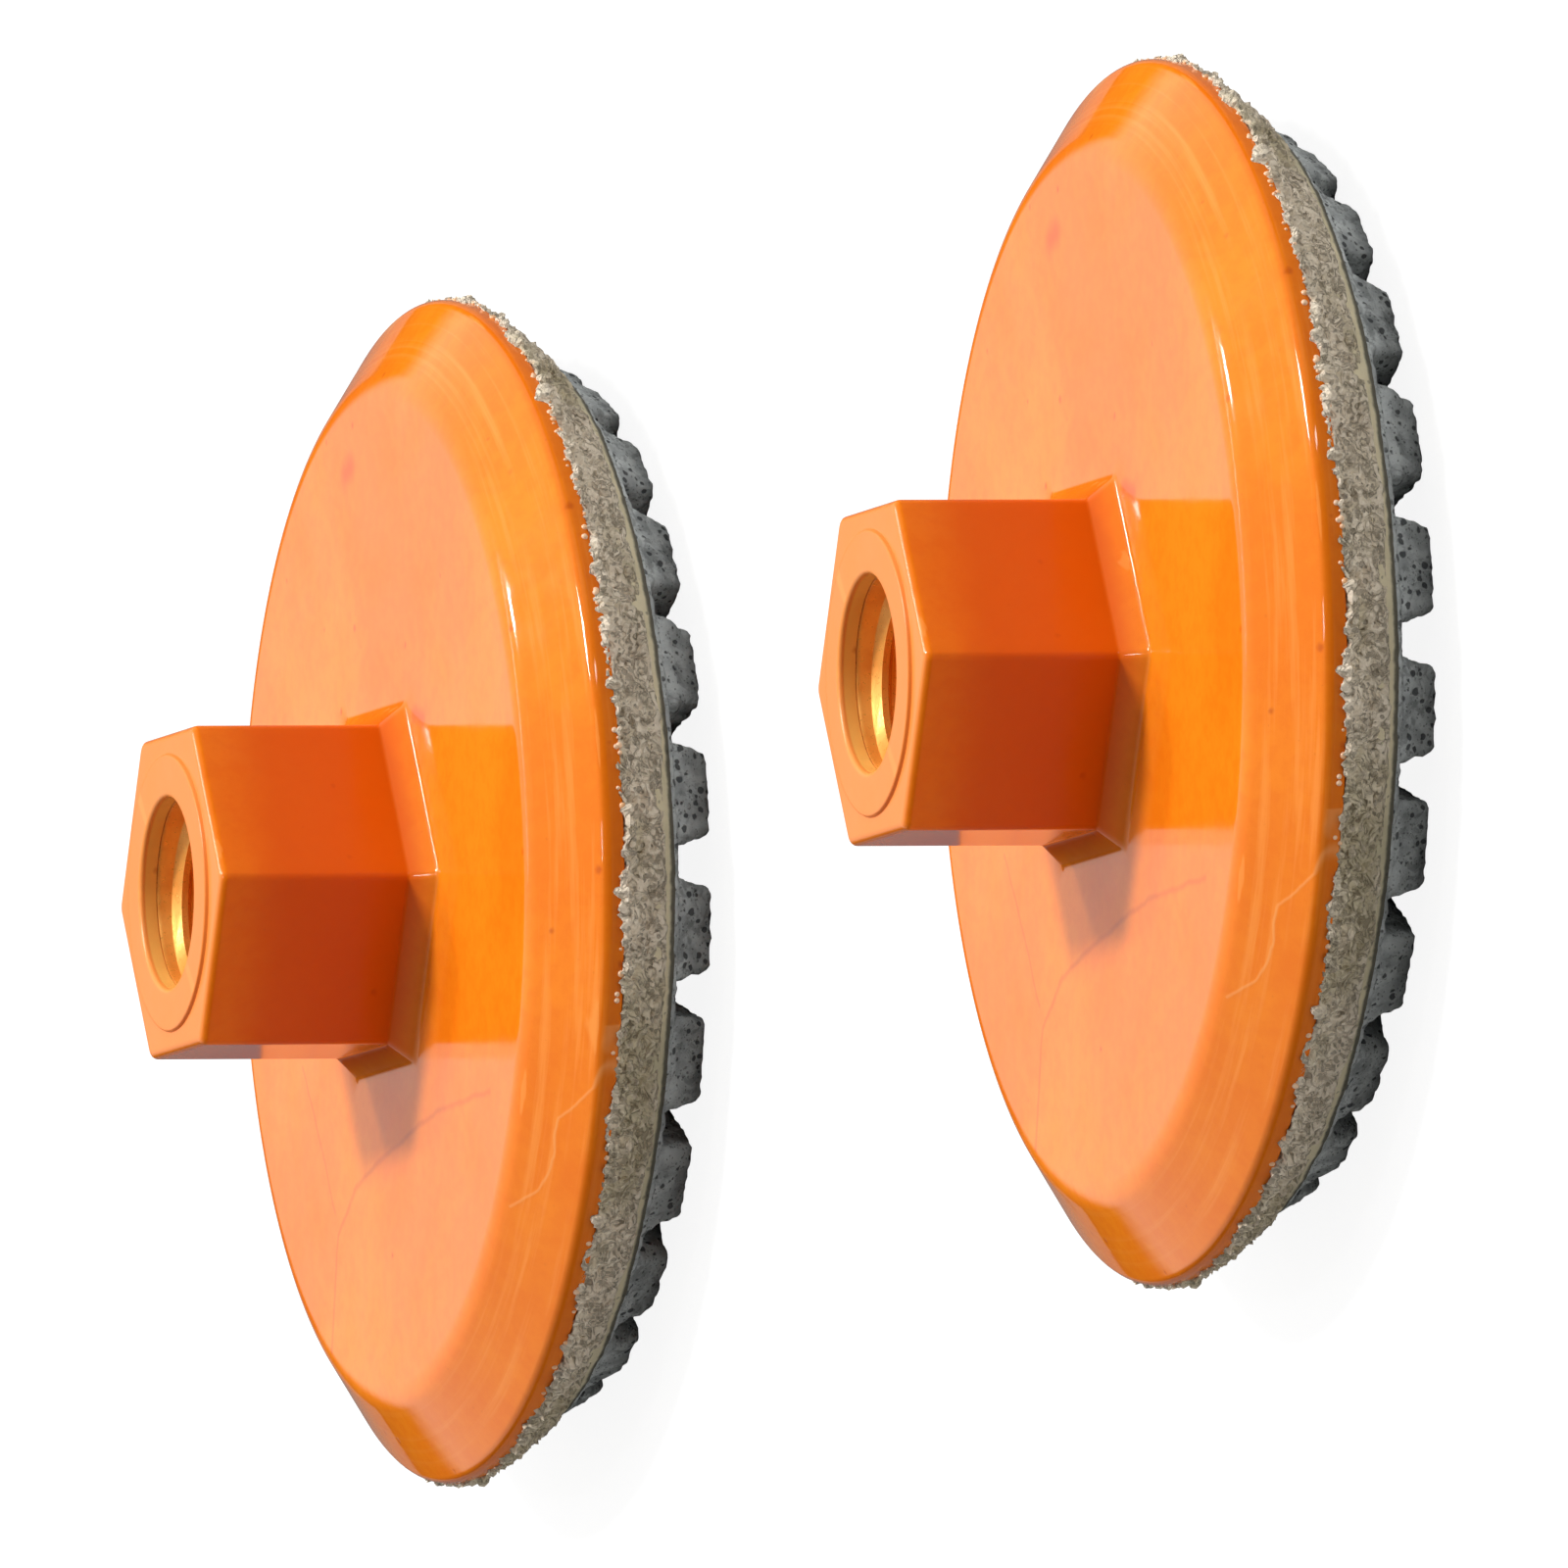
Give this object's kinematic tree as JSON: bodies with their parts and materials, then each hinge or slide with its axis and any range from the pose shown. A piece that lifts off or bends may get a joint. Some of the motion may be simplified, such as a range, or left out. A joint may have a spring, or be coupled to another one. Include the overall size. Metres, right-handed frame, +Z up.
{
  "type": "segmented grinding disc set",
  "caption": "Pair of round segmented grinding discs on bevelled plastic backing plates, each with a hexagonal threaded hub for a grinder spindle.",
  "frame": {"origin": "on the surface that the discs lie on, at the middle of the pair's outline", "axes": "+Z up along both disc axes, from the abrasive faces to the hub ends; +X along the longest extent, from disc a towards disc b"},
  "size_m": [0.305, 0.118, 0.0351],
  "materials": {
    "orange_plastic": "glossy moulded thermoplastic, slightly translucent, fine mould scratches",
    "insert_metal": "turned and tapped brass, dulled",
    "cement": "porous resin cement with open pores and a ragged squeezed-out edge",
    "base_resin": "smooth cast resin, olive tan, matt",
    "abrasive": "sintered resin-bond abrasive, blue grey with dark grains and pits"
  },
  "bodies": {
    "root": {"backing_plate_a": "orange_plastic", "thread_insert_a": "insert_metal", "cement_layer_a": "cement", "base_ring_a": "base_resin", "segment_a01": "abrasive", "segment_a02": "abrasive", "segment_a03": "abrasive", "segment_a04": "abrasive", "segment_a05": "abrasive", "segment_a06": "abrasive", "segment_a07": "abrasive", "segment_a08": "abrasive", "segment_a09": "abrasive", "segment_a10": "abrasive", "segment_a11": "abrasive", "segment_a12": "abrasive", "segment_a13": "abrasive", "segment_a14": "abrasive", "segment_a15": "abrasive", "segment_a16": "abrasive", "segment_a17": "abrasive", "segment_a18": "abrasive", "segment_a19": "abrasive", "segment_a20": "abrasive", "segment_a21": "abrasive", "segment_a22": "abrasive", "segment_a23": "abrasive", "segment_a24": "abrasive"},
    "disc_b": {"backing_plate_b": "orange_plastic", "thread_insert_b": "insert_metal", "cement_layer_b": "cement", "base_ring_b": "base_resin", "segment_b01": "abrasive", "segment_b02": "abrasive", "segment_b03": "abrasive", "segment_b04": "abrasive", "segment_b05": "abrasive", "segment_b06": "abrasive", "segment_b07": "abrasive", "segment_b08": "abrasive", "segment_b09": "abrasive", "segment_b10": "abrasive", "segment_b11": "abrasive", "segment_b12": "abrasive", "segment_b13": "abrasive", "segment_b14": "abrasive", "segment_b15": "abrasive", "segment_b16": "abrasive", "segment_b17": "abrasive", "segment_b18": "abrasive", "segment_b19": "abrasive", "segment_b20": "abrasive", "segment_b21": "abrasive", "segment_b22": "abrasive", "segment_b23": "abrasive", "segment_b24": "abrasive"}
  },
  "joints": [
    {"name": "lift_b", "type": "slide", "parent": "root", "child": "disc_b", "axis": [0, 0, 1], "range_m": [0, 0.06]}
  ]
}
